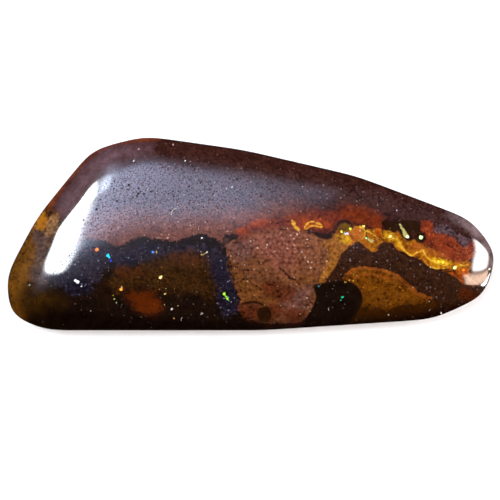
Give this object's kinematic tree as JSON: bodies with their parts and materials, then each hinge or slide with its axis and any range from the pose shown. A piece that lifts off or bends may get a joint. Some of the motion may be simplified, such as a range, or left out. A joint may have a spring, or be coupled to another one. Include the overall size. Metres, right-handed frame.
{
  "type": "polished boulder opal cabochon",
  "caption": "Freeform polished boulder opal: a low dome of dark ironstone and fiery opal on a flat ground back, with a narrow rounded nose and a bevelled lower edge.",
  "frame": {"origin": "middle of the stone's box, on the flat back that it rests on", "axes": "+X along the stone to its narrow nose, +Y across it, +Z out of the polished face"},
  "size_m": [0.035, 0.0138, 0.0041],
  "materials": {
    "opal_and_ironstone": "polished to a gloss over the dome, with a fine grain in the dark ironstone; bevel and back ground matt"
  },
  "bodies": {
    "root": {"boulder_opal": "opal_and_ironstone"}
  },
  "joints": []
}
